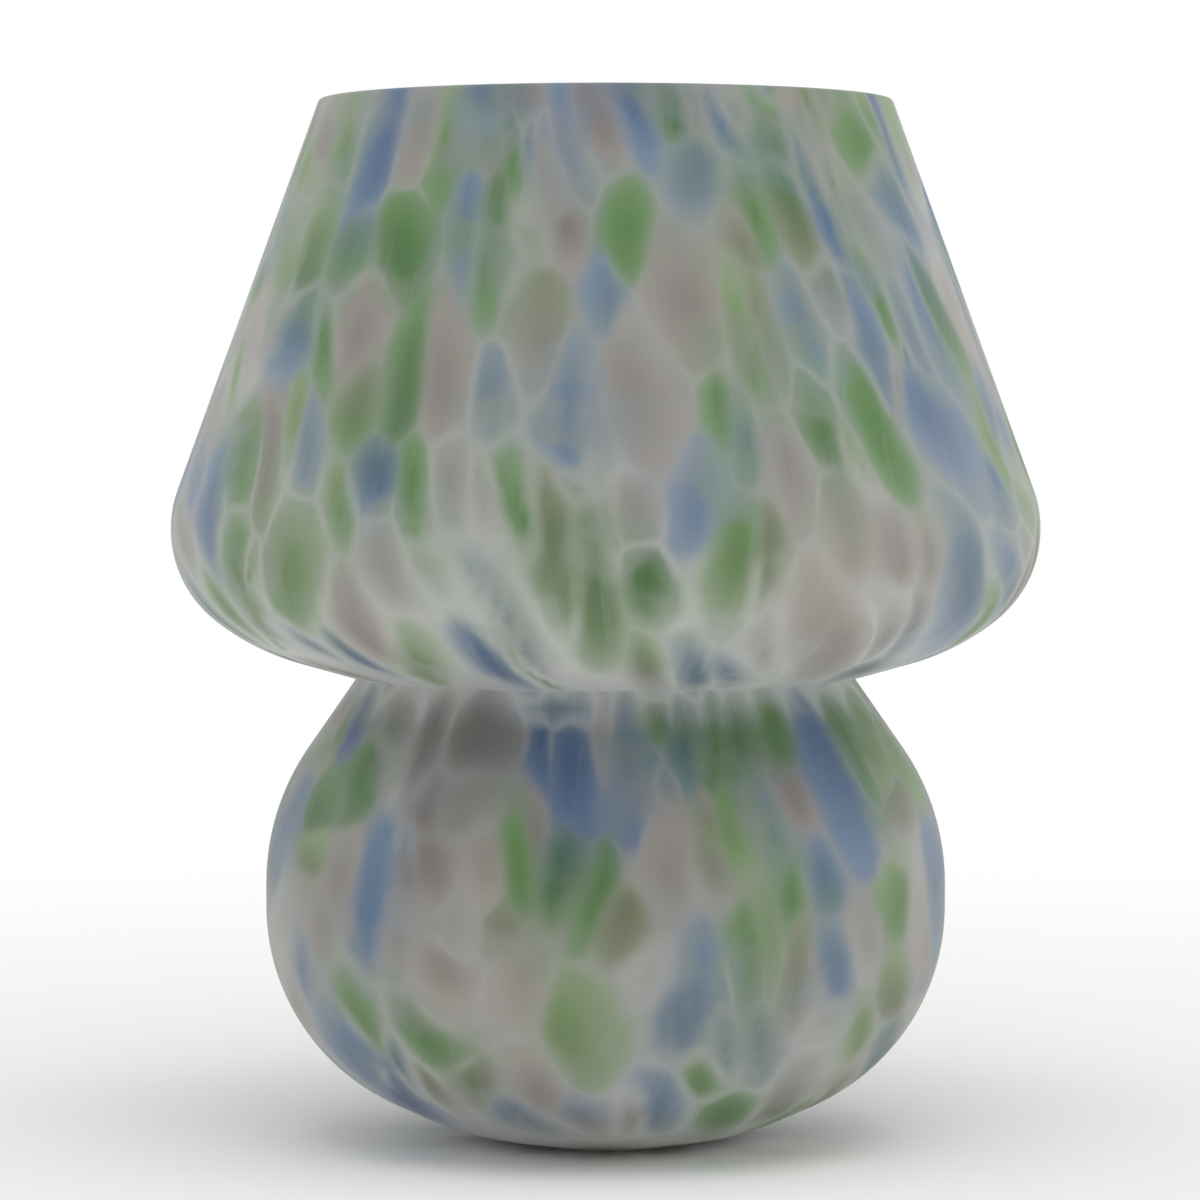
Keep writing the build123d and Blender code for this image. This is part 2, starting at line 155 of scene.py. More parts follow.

# Chips that face the camera, read in the photograph's 1200 pixels: the upper and the lower
# tip, across and down, the width, and the tones of the upper and the lower end.
FRONT_CHIPS = [
    # rim
    (334, 92, 318, 160, 22, "grey", "mauve"), (318, 130, 296, 215, 16, "pale_green", "pale_green"),
    (352, 100, 334, 196, 12, "pale_green", "green"), (400, 76, 352, 222, 38, "deep_blue", "blue"),
    (434, 76, 412, 182, 34, "grey", "mauve"), (452, 88, 436, 222, 26, "pale_green", "green"),
    (478, 68, 476, 130, 38, "deep_blue", "blue"), (478, 122, 478, 178, 34, "lavender", "mauve"),
    (502, 82, 512, 196, 20, "deep_green", "green"), (522, 74, 518, 122, 34, "dark_mauve", "mauve"),
    (532, 114, 528, 166, 14, "deep_blue", "steel"), (548, 112, 550, 195, 26, "grey", "grey"),
    (568, 70, 584, 194, 28, "blue", "steel"), (598, 72, 620, 174, 34, "dark_mauve", "mauve"),
    (620, 72, 654, 180, 30, "deep_blue", "blue"),
    (664, 72, 674, 155, 42, "deep_green", "deep_green"),
    (680, 74, 697, 142, 16, "dark_mauve", "mauve"), (692, 128, 702, 232, 42, "teal", "steel"),
    (702, 74, 740, 156, 22, "blue", "blue"), (728, 76, 742, 112, 14, "mauve", "mauve"),
    (748, 78, 782, 170, 38, "green", "deep_green"), (768, 150, 806, 265, 38, "deep_green", "olive"),
    (765, 74, 773, 102, 12, "steel", "pale_green"), (785, 78, 815, 150, 22, "mauve", "rose"),
    (788, 122, 840, 252, 24, "blue", "deep_blue"), (803, 78, 828, 150, 12, "green", "olive"),
    (822, 140, 852, 222, 14, "olive", "green"), (820, 80, 838, 120, 14, "mauve", "mauve"),
    (838, 86, 872, 186, 26, "green", "green"), (858, 80, 882, 150, 14, "pale_green", "green"),
    (868, 84, 908, 192, 9, "deep_blue", "deep_blue"), (886, 92, 925, 205, 12, "pale_green", "pale"),
    (840, 165, 886, 275, 16, "mauve", "rose"), (868, 160, 918, 262, 26, "teal", "blue"),
    # upper shade
    (308, 170, 284, 285, 16, "pale", "pale_green"), (292, 195, 278, 250, 12, "lavender", "steel"),
    (330, 188, 298, 296, 26, "pale_green", "deep_green"),
    (342, 215, 340, 256, 8, "blue", "deep_blue"), (368, 198, 338, 292, 44, "teal", "green"),
    (405, 178, 412, 305, 46, "green", "deep_green"), (466, 175, 466, 302, 22, "blue", "steel"),
    (498, 165, 485, 324, 24, "deep_green", "green"), (520, 190, 530, 242, 20, "pale", "pale"),
    (556, 182, 562, 266, 36, "dark_mauve", "mauve"), (595, 238, 598, 338, 40, "blue", "steel"),
    (625, 182, 622, 276, 60, "green", "green"), (732, 156, 770, 272, 24, "green", "green"),
    (732, 212, 758, 282, 22, "mauve", "olive"), (678, 228, 698, 362, 62, "mauve", "mauve"),
    (815, 250, 842, 336, 24, "olive", "rose"), (850, 230, 904, 362, 18, "green", "green"),
    (838, 258, 902, 425, 34, "blue", "steel"), (880, 255, 935, 386, 18, "steel", "steel"),
    (898, 250, 968, 412, 18, "blue", "lavender"), (900, 235, 968, 386, 20, "teal", "green"),
    (935, 250, 968, 345, 14, "pale", "rose"),
    # middle of the shade
    (262, 262, 252, 302, 10, "steel", "pale_green"), (262, 290, 252, 388, 18, "rose", "pale"),
    (250, 330, 234, 402, 12, "pale_green", "pale_green"), (225, 368, 205, 432, 16, "pale", "grey"),
    (305, 296, 280, 394, 34, "teal", "blue"), (322, 308, 322, 396, 26, "green", "green"),
    (375, 270, 348, 372, 40, "mauve", "mauve"), (428, 292, 388, 448, 38, "green", "deep_green"),
    (370, 352, 350, 438, 32, "olive", "green"), (448, 296, 438, 450, 46, "mauve", "mauve"),
    (532, 262, 545, 400, 50, "olive", "grey"), (500, 350, 503, 442, 36, "steel", "steel"),
    (566, 322, 580, 490, 50, "steel", "blue"), (622, 300, 652, 480, 64, "grey", "mauve"),
    (738, 282, 772, 400, 32, "pale_green", "green"), (754, 290, 792, 396, 22, "olive", "mauve"),
    (786, 274, 828, 388, 26, "steel", "blue"), (706, 358, 714, 448, 24, "green", "green"),
    (731, 390, 735, 482, 24, "teal", "teal"), (768, 405, 792, 545, 40, "grey", "mauve"),
    (806, 375, 838, 476, 34, "green", "deep_green"), (838, 346, 918, 506, 40, "green", "green"),
    (846, 430, 885, 496, 16, "pale_green", "pale"), (893, 345, 904, 428, 12, "mauve", "mauve"),
    (900, 335, 922, 392, 12, "teal", "blue"), (908, 358, 985, 512, 44, "blue", "lavender"),
    (962, 375, 1010, 500, 14, "pale_green", "pale_green"),
    (975, 370, 996, 445, 10, "steel", "steel"), (995, 400, 1020, 480, 12, "lavender", "pale"),
    # belly
    (200, 440, 188, 505, 16, "steel", "lavender"), (182, 500, 192, 575, 14, "grey", "pale"),
    (236, 422, 216, 572, 18, "blue", "lavender"), (254, 402, 238, 530, 28, "green", "green"),
    (238, 505, 264, 622, 28, "green", "green"), (268, 392, 262, 545, 22, "mauve", "olive"),
    (258, 545, 272, 640, 18, "olive", "pale_green"), (272, 385, 276, 425, 12, "lavender", "mauve"),
    (296, 378, 286, 462, 20, "pale_green", "pale_green"),
    (315, 395, 306, 482, 28, "steel", "steel"), (306, 488, 320, 642, 46, "pale_green", "green"),
    (338, 438, 341, 538, 20, "pale_green", "green"), (365, 430, 374, 526, 38, "teal", "deep_blue"),
    (368, 520, 425, 622, 44, "grey", "pale"), (404, 450, 424, 562, 34, "green", "green"),
    (420, 545, 442, 595, 26, "pale_green", "pale"), (452, 448, 458, 530, 34, "grey", "grey"),
    (493, 465, 500, 545, 24, "grey", "pale"), (516, 436, 526, 556, 38, "green", "green"),
    (548, 462, 564, 642, 50, "olive", "green"), (562, 470, 588, 516, 26, "mauve", "olive"),
    (588, 508, 600, 674, 56, "deep_green", "pale_green"),
    (612, 500, 618, 560, 18, "olive", "green"),
    (602, 430, 600, 502, 16, "steel", "pale"), (640, 480, 642, 545, 50, "grey", "mauve"),
    (652, 541, 655, 632, 54, "deep_green", "green"), (692, 424, 700, 558, 40, "lavender", "blue"),
    (722, 482, 730, 640, 44, "green", "pale_green"), (752, 502, 760, 622, 32, "olive", "olive"),
    (838, 478, 845, 582, 44, "olive", "rose"), (885, 495, 890, 586, 40, "mauve", "rose"),
    (920, 508, 925, 592, 24, "rose", "mauve"), (945, 500, 918, 658, 34, "steel", "blue"),
    (982, 452, 1008, 532, 20, "blue", "blue"), (1000, 525, 982, 625, 24, "lavender", "blue"),
    (985, 556, 938, 655, 14, "pale_green", "green"),
    (1015, 478, 1030, 545, 12, "pale_green", "pale_green"),
    (1022, 525, 1020, 575, 12, "rose", "pale"),
    # underside
    (204, 562, 246, 628, 14, "pale_green", "green"), (242, 608, 292, 646, 12, "steel", "pale"),
    (300, 638, 350, 664, 12, "steel", "steel"), (334, 556, 402, 668, 38, "mauve", "rose"),
    (330, 634, 402, 676, 16, "teal", "deep_blue"),
    (410, 612, 446, 686, 36, "pale_green", "pale_green"),
    (456, 616, 535, 692, 34, "blue", "deep_blue"), (478, 560, 560, 680, 28, "steel", "pale"),
    (495, 630, 562, 690, 12, "pale_green", "green"), (640, 634, 648, 692, 36, "pale_green", "rose"),
    (692, 634, 690, 690, 36, "steel", "blue"), (724, 652, 730, 688, 24, "lavender", "lavender"),
    (765, 600, 768, 670, 20, "pale", "pale"), (812, 562, 806, 680, 60, "rose", "rose"),
    (882, 576, 862, 662, 36, "pale", "grey"), (915, 586, 882, 666, 26, "grey", "lavender"),
    (865, 655, 840, 682, 24, "teal", "teal"),
    # shoulder of the base, where the darkest grey chips carry painted shade from the shade's
    # overhang
    (352, 690, 322, 745, 14, "mauve", "mauve"), (354, 696, 330, 754, 11, "deep_green", "green"),
    (374, 686, 344, 756, 20, "deep_blue", "deep_blue"),
    (325, 742, 300, 792, 18, "pale_green", "grey"), (402, 688, 394, 748, 30, "grey_in_painted_shade", "dark_mauve"),
    (386, 715, 346, 828, 24, "green", "deep_green"),
    (346, 760, 310, 834, 26, "green", "deep_green"), (442, 696, 410, 792, 34, "grey_in_painted_shade", "grey_in_painted_shade"),
    (402, 745, 388, 812, 16, "pale", "pale"), (490, 698, 480, 782, 62, "grey_in_painted_shade", "grey_in_painted_shade"),
    (562, 692, 562, 730, 58, "steel", "blue"), (542, 712, 544, 800, 26, "deep_blue", "deep_blue"),
    (570, 704, 584, 838, 54, "deep_blue", "deep_blue"), (606, 700, 606, 775, 14, "rose", "mauve"),
    (625, 698, 630, 868, 42, "steel", "deep_blue"), (650, 698, 655, 748, 24, "green", "green"),
    (672, 698, 688, 802, 36, "teal", "teal"), (655, 770, 668, 812, 22, "steel", "mauve"),
    (712, 696, 712, 800, 30, "green", "deep_green"),
    (738, 696, 742, 782, 40, "deep_green", "deep_green"),
    (764, 696, 786, 768, 26, "green", "deep_green"), (758, 772, 782, 872, 24, "steel", "teal"),
    (780, 768, 800, 845, 24, "dark_mauve", "mauve"), (797, 702, 862, 868, 46, "deep_blue", "blue"),
    (828, 692, 872, 800, 26, "deep_green", "green"),
    (852, 696, 892, 792, 30, "green", "pale_green"),
    (880, 715, 925, 815, 18, "pale_green", "pale_green"), (895, 790, 905, 862, 50, "olive", "pale"),
    # belly of the base
    (310, 772, 274, 892, 17, "blue", "steel"), (288, 782, 268, 855, 12, "mauve", "lavender"),
    (318, 828, 312, 888, 28, "pale_green", "olive"), (352, 822, 340, 938, 34, "grey", "mauve"),
    (390, 802, 372, 990, 42, "blue", "blue"), (414, 812, 405, 900, 26, "steel", "dark_mauve"),
    # The upper ends of these two chips are grey with painted shade from the shade's overhang.
    (440, 772, 430, 830, 40, "grey_in_painted_shade", "dark_mauve"), (470, 785, 468, 850, 46, "grey_in_painted_shade", "grey"),
    (428, 822, 432, 905, 44, "dark_mauve", "mauve"), (478, 842, 484, 905, 44, "mauve", "rose"),
    (452, 885, 446, 945, 44, "grey", "pale"), (514, 812, 530, 930, 36, "green", "green"),
    (534, 790, 540, 862, 22, "mauve", "dark_mauve"),
    (575, 806, 552, 932, 40, "deep_teal", "deep_green"),
    (606, 832, 588, 958, 32, "deep_green", "green"), (625, 885, 618, 968, 44, "olive", "olive"),
    (655, 812, 662, 925, 62, "mauve", "grey"), (702, 790, 722, 842, 22, "mauve", "olive"),
    (722, 782, 746, 882, 36, "green", "pale_green"), (712, 835, 728, 902, 40, "olive", "grey"),
    (748, 895, 748, 1000, 40, "green", "green"),
    (765, 885, 775, 985, 24, "pale_green", "pale_green"),
    (788, 858, 790, 935, 30, "green", "green"), (808, 838, 828, 922, 30, "blue", "teal"),
    (890, 838, 890, 945, 30, "pale_green", "green"), (910, 840, 915, 1000, 18, "pale", "rose"),
    (932, 832, 936, 965, 18, "lavender", "steel"), (858, 900, 862, 998, 34, "grey", "pale"),
    (830, 918, 838, 1018, 32, "steel", "blue"), (800, 925, 795, 1035, 30, "olive", "grey"),
    (705, 922, 668, 1078, 52, "blue", "steel"),
    # hip and foot of the base
    (278, 880, 282, 960, 22, "pale", "pale"), (318, 882, 330, 955, 38, "rose", "mauve"),
    (299, 928, 314, 1012, 20, "steel", "lavender"), (280, 965, 292, 1030, 18, "pale", "grey"),
    (344, 958, 386, 1060, 30, "pale_green", "green"), (330, 995, 378, 1088, 42, "blue", "blue"),
    (382, 1058, 440, 1122, 38, "deep_blue", "deep_blue"),
    (390, 1045, 420, 1100, 24, "teal", "teal"), (430, 920, 440, 1000, 48, "mauve", "rose"),
    (398, 905, 394, 990, 30, "grey", "grey"), (402, 1004, 468, 1082, 48, "green", "green"),
    (425, 1070, 462, 1112, 38, "olive", "mauve"), (470, 1062, 492, 1112, 40, "olive", "olive"),
    (500, 898, 508, 960, 60, "olive", "mauve"), (520, 935, 512, 1030, 56, "rose", "rose"),
    (580, 978, 592, 1078, 72, "pale_green", "pale_green"),
    (528, 1045, 538, 1118, 58, "rose", "mauve"), (498, 1100, 552, 1136, 34, "steel", "deep_blue"),
    (574, 1082, 594, 1130, 56, "lavender", "grey"), (656, 1080, 662, 1132, 46, "blue", "steel"),
    (692, 1048, 700, 1098, 46, "pale_green", "green"), (722, 1090, 714, 1134, 54, "green", "green"),
    (838, 1052, 800, 1115, 60, "rose", "olive"), (786, 1072, 770, 1122, 40, "grey", "olive"),
    (858, 998, 850, 1068, 22, "pale_green", "pale_green"),
    (886, 1018, 866, 1078, 26, "teal", "teal"), (835, 1020, 815, 1050, 30, "pale", "pale"),
    (655, 955, 645, 1010, 26, "pale", "pale"), (628, 1098, 630, 1130, 32, "grey", "grey"),
    (752, 1098, 760, 1132, 30, "pale_green", "pale_green"),
    (712, 995, 730, 1068, 26, "teal", "steel"), (757, 990, 757, 1088, 34, "teal", "steel"),
    (892, 942, 893, 1012, 32, "pale_green", "olive"), (925, 962, 916, 1002, 14, "lavender", "pale"),
]
CHIP_SPREAD = 1.18                 # a chip's colour runs a little past what is read as its edge
WALL_SEARCHES = 40                 # steps towards a pixel's place on the wall
EDGE_ON = 0.2                      # the wall is never taken to be more edge on than this
WIDEST, MOST_LEAN = 8.5, 0.35      # a read chip's half width in degrees, and its degrees a mm
SEED = 7
LOOSE_SHARES = {                   # how often each tone comes up where chips are strewn
    "mauve": 22, "grey": 9, "rose": 6, "pale": 6, "green": 15, "deep_green": 4,
    "pale_green": 11, "olive": 4, "teal": 3, "blue": 11, "deep_blue": 7, "lavender": 6,
    "steel": 7,
}
STREWN_TRIES = 9000
STREWN_HALF_WIDTH, STREWN_HALF_LENGTH = 5.4, 13.5    # mm
WIDTH_SPREAD, LENGTH_SPREAD = (0.8, 1.25), (0.75, 1.2)
STREWN_ROOM = 0.78                 # chips' centres apart, where 1 is end to end
FRONT_ROOM, FRONT_REACH = 1.35, 55 # more room between chips within so many degrees of the front
STIR_WAVES, STIR_WAVE = 10, 60     # how many, and the scale of their length down the wall in mm
STIR_CRESTS = 3, 17                # of a wave round the lamp, at least and fewer than
STIR_TURN, STIR_PUSH = 0.35, 0.7   # degrees and mm that a wave moves a place
SAME_PLACE = 2                     # decimals of a mm that tell the wall's rows of points apart
BLOCK = 4096                       # points worked out at a time

# ---- threads, in mm ----------------------------------------------------------------------------
TUBE_BORE = 4.0                    # of the M10 x 1 lighting tube
TUBE_PITCH, TUBE_THREAD = 1.0, 0.5
BULB_PITCH, BULB_THREAD = 2.82, 0.34   # E14, pressed in thin sheet
BULB_CAP_BORE = 6.5
SHELL_SHEET, SHELL_LIP = 0.4, 5.6
THREAD_ROWS, THREAD_COLUMNS = 8, 64    # of mesh, in a turn's height and round the tube
AT_ROOT, AT_CREST = 1.0, 0.0           # how deep a thread is where it runs out

# ---- every mesh that a recipe makes ------------------------------------------------------------
MERGE_DISTANCE = 1e-6                  # metres
SHARP = radians(35)                    # edges that turn by more stay sharp

# ---- floor and light ---------------------------------------------------------------------------
FLOOR_RADIUS, FLOOR_SIDES = 1.6, 128
FLOOR_FADE = 0.12, 0.7             # metres from the axis
FLOOR_TONE = (250, 250, 249)
AMBIENT = 0.72
LAMPS = [                          # name, place, aim, size, power
    ("overhead", (0.1, -0.8, 1.7), (0, 0, 0.1), 1.3, 9.5),
    ("right_side", (1.3, -0.1, 0.35), (0, 0, 0.12), 0.8, 2.2),
    ("left_side", (-1.3, -0.1, 0.35), (0, 0, 0.12), 0.8, 1.2),
]


def rgb(tone):
    """An sRGB tone's linear colour, by that standard's curve."""
    return tuple((c / 255 / 12.92) if c / 255 <= 0.04045 else ((c / 255 + 0.055) / 1.055) ** 2.4
                 for c in tone)


# ==== node trees ================================================================================
class Wire:
    """An output socket. Arithmetic on it adds Math nodes to its tree."""

    def __init__(self, graph, socket):
        self.graph, self.socket = graph, socket

    def math(self, operation, *values):
        """A Math node's result for these values."""
        return self.graph.node("ShaderNodeMath", {"operation": operation}, dict(enumerate(values)))

    def __add__(self, other):
        return self.math("ADD", self, other)

    def __sub__(self, other):
        return self.math("SUBTRACT", self, other)

    def __rsub__(self, other):
        return self.math("SUBTRACT", other, self)

    def __mul__(self, other):
        return self.math("MULTIPLY", self, other)

    def __truediv__(self, other):
        return self.math("DIVIDE", self, other)

    def least(self, other):
        return self.math("MINIMUM", self, other)

    def most(self, other):
        return self.math("MAXIMUM", self, other)

    def exp(self):
        return self.math("EXPONENT", self)

    def sine(self):
        return self.math("SINE", self)

    def cosine(self):
        return self.math("COSINE", self)

    def modulo(self, other):
        return self.math("MODULO", self, other)

    def whole(self):
        return self.math("FLOOR", self)

    def rise(self, low, high, start=0.0, end=1.0):
        """A smooth step from start, at low, to end, at high."""
        return self.graph.node(
            "ShaderNodeMapRange", {"interpolation_type": "SMOOTHSTEP"},
            {"Value": self, "From Min": low, "From Max": high, "To Min": start, "To Max": end})


class Graph:
    """A node tree being built. node() adds every node, and the other methods only shorten it."""

    def __init__(self, tree):
        self.tree = tree

    def node(self, kind, settings=None, sockets=None, out=0):
        """Adds a node and gives one of its outputs, or the node itself where it has none."""
        made = self.tree.nodes.new(kind)
        for name, value in (settings or {}).items():
            setattr(made, name, value)
        for key, value in (sockets or {}).items():
            if isinstance(value, Wire):
                self.tree.links.new(value.socket, made.inputs[key])
            else:
                made.inputs[key].default_value = value
        return Wire(self, made.outputs[out]) if made.outputs else made

    def mix(self, factor, a, b):
        """A colour between a and b."""
        a, b = (c if isinstance(c, Wire) else (*c, 1.0) for c in (a, b))
        return self.node("ShaderNodeMix", {"data_type": "RGBA"}, {0: factor, 6: a, 7: b}, out=2)


class Finish(Graph):
    """A material. Its constants go straight to the shader's own sockets."""

    def __init__(self, name, **constants):
        self.material = bpy.data.materials.new(name)
        self.material.use_nodes = True
        super().__init__(self.material.node_tree)
        self.tree.nodes.clear()
        self.shader = self.node("ShaderNodeBsdfPrincipled")
        self.put({key.replace("_", " ").title().replace("Ior", "IOR"): value
                  for key, value in constants.items()})
        self.output = self.node("ShaderNodeOutputMaterial", None, {"Surface": self.shader})

    def put(self, sockets):
        """Sets or links sockets of the shader."""
        shader = self.shader.socket.node
        for key, value in sockets.items():
            if isinstance(value, Wire):
                self.tree.links.new(value.socket, shader.inputs[key])
            else:
                shader.inputs[key].default_value = value

    def place(self):
        """Where a point lies on its own object, in metres."""
        return self.node("ShaderNodeTexCoord", out="Object")

    def noise(self, scale, detail, rough=0.5, vector=None):
        """Noise from 0 to 1, with its features about 1 / scale metres across."""
        return self.node("ShaderNodeTexNoise", None,
                         {"Vector": vector or self.place(), "Scale": scale, "Detail": detail,
                          "Roughness": rough})

    def varied(self, noise, step, vector=None):
        """A smooth step taken of a noise."""
        return self.noise(*noise, vector=vector).rise(*step)

    def bump(self, height, strength, distance):
        """A normal for bumps of this height, up to a distance in metres."""
        return self.node("ShaderNodeBump", None,
                         {"Height": height, "Strength": strength, "Distance": distance})


# ==== the glass =================================================================================
# A point of the outline is a complex number, radius + height * 1j, so that a turn is a product.
def inset(corners):
    """The inner wall's corners and rounds: the outline moved in by the wall."""
    points = [complex(*p) for p, _ in corners]
    headings = [atan2((b - a).imag, (b - a).real) for a, b in zip(points, points[1:])]
    inner = [((points[0].real + WALL / sin(headings[0]), points[0].imag), corners[0][1])]
    for point, (_, rounding), before, after in zip(points[1:], corners[1:], headings, headings[1:]):
        turn = (after - before + pi) % (2 * pi) - pi
        moved = point + rect(WALL / cos(turn / 2), before + turn / 2 - pi / 2)
        grown = rounding + WALL if turn > 0 else max(rounding - WALL, 0.0)
        inner.append(((moved.real, moved.imag), grown))
    return inner + [((points[-1].real, points[-1].imag + WALL), corners[-1][1])]


def rounded(corners, step):
    """Points about a step apart along a line with rounded corners. Too large a round shrinks."""
    points = [complex(*p) for p, _ in corners]
    sides = [b - a for a, b in zip(points, points[1:])]
    turns = [phase(b / a) for a, b in zip(sides, sides[1:])]
    runs = [0.0] + [r * tan(abs(t) / 2) for (_, r), t in zip(corners[1:], turns)] + [0.0]
    spare = [min(1.0, SIDE_SHARE * abs(side) / max(runs[i] + runs[i + 1], NEAR_ZERO))
             for i, side in enumerate(sides)]
    line, start = [], points[0]
    for i, turn in enumerate(turns):
        fit = min(spare[i], spare[i + 1])
        corner, radius, run = points[i + 1], corners[i + 1][1] * fit, runs[i + 1] * fit
        entry = corner - sides[i] / abs(sides[i]) * run
        line += spaced(start, entry, step)
        if radius > 0:
            spoke = sides[i] / abs(sides[i]) * rect(radius, -pi / 2 if turn > 0 else pi / 2)
            count = max(ROUND_STEPS, ceil(radius * abs(turn) / step))
            line += [entry - spoke + spoke * rect(1, turn * k / count) for k in range(count)]
        start = corner + sides[i + 1] / abs(sides[i + 1]) * run
    return line + spaced(start, points[-1], step)


def spaced(a, b, step):
    """Points from a up to, but without, b."""
    count = max(1, round(abs(b - a) / step))
    return [a + (b - a) * k / count for k in range(count)]


def section():
    """The wall's closed section, from the middle of the rim down inside and up outside."""
    inner = inset(OUTLINE)
    rim_middle = ((inner[0][0][0] + OUTLINE[0][0][0]) / 2, OUTLINE[0][0][1])
    hole_middle = (OUTLINE[-1][0][0], OUTLINE[-1][0][1] + WALL / 2)
    inside = rounded([(rim_middle, 0), *inner, (hole_middle, 0)], INSIDE_STEP)
    outside = rounded([(hole_middle, 0), *reversed(OUTLINE), (rim_middle, 0)], OUTSIDE_STEP)
    return inside + outside


def line_object(name, points):
    """A loose line of points (radius, 0, height), as the recipes read it, in metres."""
    mesh = bpy.data.meshes.new(name)
    mesh.from_pydata([(p.real * MM, 0, (p.imag + FOOT) * MM) for p in points], [], [])
    holder = bpy.data.objects.new(name, mesh)
    bpy.context.scene.collection.objects.link(holder)
    return holder


class Recipe(Graph):
    """A Geometry Nodes tree with named inputs, which makes a finished mesh."""

    def __init__(self, name, **inputs):
        tree = bpy.data.node_groups.new(name, "GeometryNodeTree")
        super().__init__(tree)
        self.kinds = {}
        for key, kind in inputs.items():
            item = tree.interface.new_socket(key, in_out="INPUT", socket_type="NodeSocket" + kind)
            self.kinds[key] = item.identifier
        tree.interface.new_socket("Geometry", in_out="OUTPUT", socket_type="NodeSocketGeometry")
        self.group = tree.nodes.new("NodeGroupInput")

    def given(self, key):
        """One of the inputs."""
        return Wire(self, self.group.outputs[key])

    def turning(self):
        """A sheet to turn the section on, with its points' radius, height and angle."""
        points = self.node("GeometryNodeObjectInfo", None, {"Object": self.given("section")},
                           out="Geometry")
        rows = self.node("GeometryNodeAttributeDomainSize", None, {"Geometry": points},
                         out="Point Count")
        sheet = self.node("GeometryNodeMeshGrid", None,
                          {"Vertices X": self.given("columns") + 1, "Vertices Y": rows + 1},
                          out="Mesh")
        index = self.node("GeometryNodeInputIndex")
        column = (index / (rows + 1)).whole()
        row = (index - column * (rows + 1)).modulo(rows)
        place = self.node("GeometryNodeSampleIndex", {"data_type": "FLOAT_VECTOR"},
                          {"Geometry": points, "Value": self.node("GeometryNodeInputPosition"),
                           "Index": row})
        radius = self.node("ShaderNodeSeparateXYZ", None, {"Vector": place})
        height = Wire(self, radius.socket.node.outputs["Z"])
        return sheet, radius, height, column / self.given("columns") * (2 * pi)

    def turned(self, sheet, radius, height, angle):
        """The sheet's points put in their places, and its edges joined."""
        place = self.node("ShaderNodeCombineXYZ", None, {
            "X": radius * angle.sine(), "Y": radius * angle.cosine() * -1, "Z": height})
        placed = self.node("GeometryNodeSetPosition", None, {"Geometry": sheet, "Position": place})
        return self.node("GeometryNodeMergeByDistance", None,
                         {"Geometry": placed, "Distance": MERGE_DISTANCE})

    def ends(self, geometry):
        """Realize Instances and Set Material close the tree."""
        real = self.node("GeometryNodeRealizeInstances", None, {"Geometry": geometry})
        done = self.node("GeometryNodeSetMaterial", None,
                         {"Geometry": real, "Material": self.given("finish")})
        output = self.tree.nodes.new("NodeGroupOutput")
        self.tree.links.new(done.socket, output.inputs["Geometry"])

    def make(self, name, **values):
        """The plain mesh object that the recipe gives for these values."""
        maker = bpy.data.objects.new(name + "_maker", bpy.data.meshes.new(name + "_maker"))
        bpy.context.scene.collection.objects.link(maker)
        modifier = maker.modifiers.new("recipe", "NODES")
        modifier.node_group = self.tree
        for key, value in values.items():
            modifier[self.kinds[key]] = value
        bpy.context.view_layer.update()
        evaluated = maker.evaluated_get(bpy.context.evaluated_depsgraph_get())
        mesh = bpy.data.meshes.new_from_object(evaluated)
        bpy.data.objects.remove(maker)
        mesh.name = name
        made = bpy.data.objects.new(name, mesh)
        bpy.context.scene.collection.objects.link(made)
        return made


def wall_recipe():
    """A section turned round the lamp's axis into a closed wall, with one hole drilled in it."""
    r = Recipe("turned_wall", section="Object", columns="Int", hole_radius="Float",
               hole_depth="Float", hole_place="Vector", hole_turn="Vector", finish="Material")
    wall = r.turned(*r.turning())
    drill = r.node("GeometryNodeMeshCylinder", None,
                   {"Vertices": DRILL_SIDES, "Radius": r.given("hole_radius"),
                    "Depth": r.given("hole_depth")})
    drill = r.node("GeometryNodeTransform", None,
                   {"Geometry": drill, "Translation": r.given("hole_place"),
                    "Rotation": r.given("hole_turn")})
    drilled = r.node("GeometryNodeMeshBoolean", {"operation": "DIFFERENCE", "solver": "EXACT"},
                     {"Mesh 1": wall, "Mesh 2": drill})
    r.ends(r.node("GeometryNodeSetShadeSmooth", None, {"Geometry": drilled}))
    return r


def thread_recipe():
    """A turned section with a right-hand thread cut in it.

    Nothing moves up to bore_radius, and from full_radius on the whole depth is cut. run_out is
    the share of the depth that is cut at the bottom and at the top.
    """
    r = Recipe("threaded_tube", section="Object", columns="Int", pitch="Float", depth="Float",
               bore_radius="Float", full_radius="Float", run_out="Float", bottom="Float",
               top="Float", finish="Material")
    sheet, radius, height, angle = r.turning()
    pitch, bore, run_out = r.given("pitch"), r.given("bore_radius"), r.given("run_out")
    groove = 0.5 - (height / pitch * (2 * pi) - angle).cosine() * 0.5
    from_end = (height - r.given("bottom")).least(r.given("top") - height)
    share = (groove - run_out) * (from_end / pitch).least(1).most(0) + run_out
    reach = ((radius - bore) / (r.given("full_radius") - bore)).least(1).most(0)
    tube = r.turned(sheet, radius - share * reach * r.given("depth"), height, angle)
    r.ends(r.node("GeometryNodeSetShadeSmooth", None, {"Geometry": tube}))
    return r


def outward(piece):
    """Turns a closed mesh's faces outwards, and keeps its real edges sharp."""
    made = bmesh.new()
    made.from_mesh(piece.data)
    if made.calc_volume(signed=True) < 0:
        bmesh.ops.reverse_faces(made, faces=made.faces)
    made.to_mesh(piece.data)
    made.free()
    piece.data.set_sharp_from_angle(angle=SHARP)
    return piece


# ---- where the chips lie -----------------------------------------------------------------------
OUTSIDE = np.array(rounded(OUTLINE, FINE_STEP))      # a line down the outside of the wall
RUNS = np.concatenate([[0.0], np.cumsum(abs(np.diff(OUTSIDE)))])
UNDERSIDE = int(np.argmax(OUTSIDE.imag < FOOT_LEVEL))


def wrapped(angles):
    """The same angles, from -180 up to 180."""
    return (angles + 180) % 360 - 180


